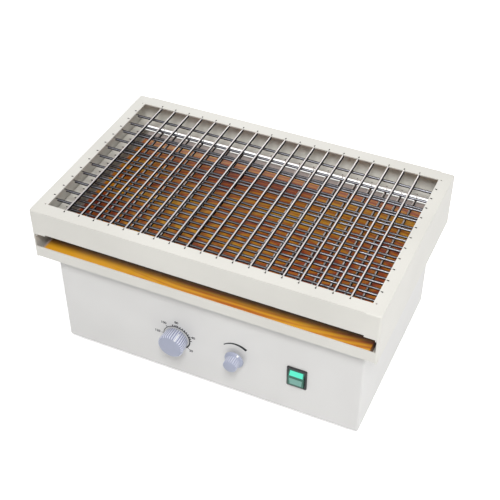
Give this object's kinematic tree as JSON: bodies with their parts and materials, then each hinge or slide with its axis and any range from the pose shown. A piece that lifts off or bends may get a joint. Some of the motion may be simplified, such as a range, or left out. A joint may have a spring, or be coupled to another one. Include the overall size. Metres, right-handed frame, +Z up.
{
  "type": "reciprocating shaker",
  "caption": "Bench-top reciprocating shaker: a sheet-metal base with timer, speed and power controls drives a sliding tray whose wooden board lies under crossed nets of tension springs.",
  "frame": {"origin": "on the floor, under the middle of the whole box at rest", "axes": "+X along the stroke, to the right seen from the front; +Z up; the front with its controls towards -Y"},
  "size_m": [0.442, 0.284, 0.2166],
  "materials": {
    "tray_enamel": "satin",
    "base_enamel": "satin",
    "varnished_wood": "gloss",
    "spring_steel": "satin",
    "zinc_plated_steel": "satin",
    "ground_steel": "polished",
    "cast_aluminium": "satin",
    "bronze": "satin",
    "black_rubber": "matte",
    "black_plastic": "satin",
    "lavender_grey_plastic": "satin",
    "green_plastic": "gloss",
    "grey_paint": "satin",
    "circuit_laminate": "satin",
    "brass_pins": "satin"
  },
  "bodies": {
    "base": {"base_cover": "base_enamel", "base_plate": "base_enamel", "foot_front_left": "black_rubber", "foot_rear_left": "black_rubber", "foot_front_right": "black_rubber", "foot_rear_right": "black_rubber", "foot_screws": "zinc_plated_steel", "plate_screws": "zinc_plated_steel", "right_rod_bracket": "zinc_plated_steel", "left_rod_bracket": "zinc_plated_steel", "front_guide_rod": "ground_steel", "rear_guide_rod": "ground_steel", "guide_rod_nuts": "zinc_plated_steel", "bearing_housing": "cast_aluminium", "crank_bearings": "ground_steel", "motor_bracket": "zinc_plated_steel", "motor": "grey_paint", "drive_belt": "black_rubber", "control_board": "circuit_laminate", "board_spacers": "zinc_plated_steel", "board_components": "black_plastic", "timer_body": "black_plastic", "speed_body": "zinc_plated_steel", "panel_nuts": "zinc_plated_steel", "switch_housing": "black_plastic", "power_inlet": "black_plastic", "inlet_pins": "brass_pins", "fuse_holder": "black_plastic", "fuse_cap": "black_plastic"},
    "tray": {"tray_left_side": "tray_enamel", "tray_right_side": "tray_enamel", "tray_front_rim": "tray_enamel", "tray_rear_rim": "tray_enamel", "left_spring_rail": "tray_enamel", "right_spring_rail": "tray_enamel", "tray_pan": "tray_enamel", "wooden_board": "varnished_wood", "upper_long_springs": "spring_steel", "upper_cross_springs": "spring_steel", "lower_long_springs": "spring_steel", "lower_cross_springs": "spring_steel", "guide_bushes": "bronze", "carriage_plate": "cast_aluminium", "carriage_screws": "zinc_plated_steel", "tray_posts": "zinc_plated_steel", "tray_screws": "zinc_plated_steel", "carriage_pin": "ground_steel", "rod_clip": "zinc_plated_steel"},
    "connecting_rod": {"connecting_rod": "cast_aluminium", "rod_bushes": "bronze"},
    "crank": {"crank_shaft": "ground_steel", "crank_pulley": "cast_aluminium", "crank_pin": "ground_steel"},
    "motor_rotor": {"motor_shaft": "ground_steel", "motor_pulley": "cast_aluminium"},
    "timer_knob": {"timer_knob": "lavender_grey_plastic", "timer_shaft": "ground_steel"},
    "speed_knob": {"speed_knob": "lavender_grey_plastic", "speed_shaft": "ground_steel"},
    "power_rocker": {"power_rocker": "green_plastic"}
  },
  "joints": [
    {"name": "tray_slide", "type": "slide", "parent": "base", "child": "tray", "axis": [1, 0, 0], "range_m": [-0.006, 0.014]},
    {"name": "crank_turn", "type": "hinge", "parent": "base", "child": "crank", "pos_m": [-0.026, 0.004, 0.093], "axis": [0, 0, 1], "range_deg": [-127, 55]},
    {"name": "motor_turn", "type": "hinge", "parent": "base", "child": "motor_rotor", "pos_m": [0.116, 0.004, 0.093], "axis": [0, 0, 1], "range_deg": [-506, 218]},
    {"name": "rod_swing", "type": "hinge", "parent": "tray", "child": "connecting_rod", "pos_m": [0.04947, 0.004, 0.109], "axis": [0, 0, 1], "range_deg": [-0.6, 13.8]},
    {"name": "timer_turn", "type": "hinge", "parent": "base", "child": "timer_knob", "pos_m": [-0.036, -0.13, 0.068], "axis": [0, 1, 0], "range_deg": [-120, 110]},
    {"name": "speed_turn", "type": "hinge", "parent": "base", "child": "speed_knob", "pos_m": [0.044, -0.13, 0.068], "axis": [0, 1, 0], "range_deg": [-140, 140]},
    {"name": "power_rock", "type": "hinge", "parent": "base", "child": "power_rocker", "pos_m": [0.124, -0.12, 0.068], "axis": [1, 0, 0], "range_deg": [0, 20]}
  ],
  "couplings": [
    {"joint": "crank_turn", "follows": "tray_slide", "rad_per_m": -157.08},
    {"joint": "motor_turn", "follows": "tray_slide", "rad_per_m": -628.32}
  ]
}
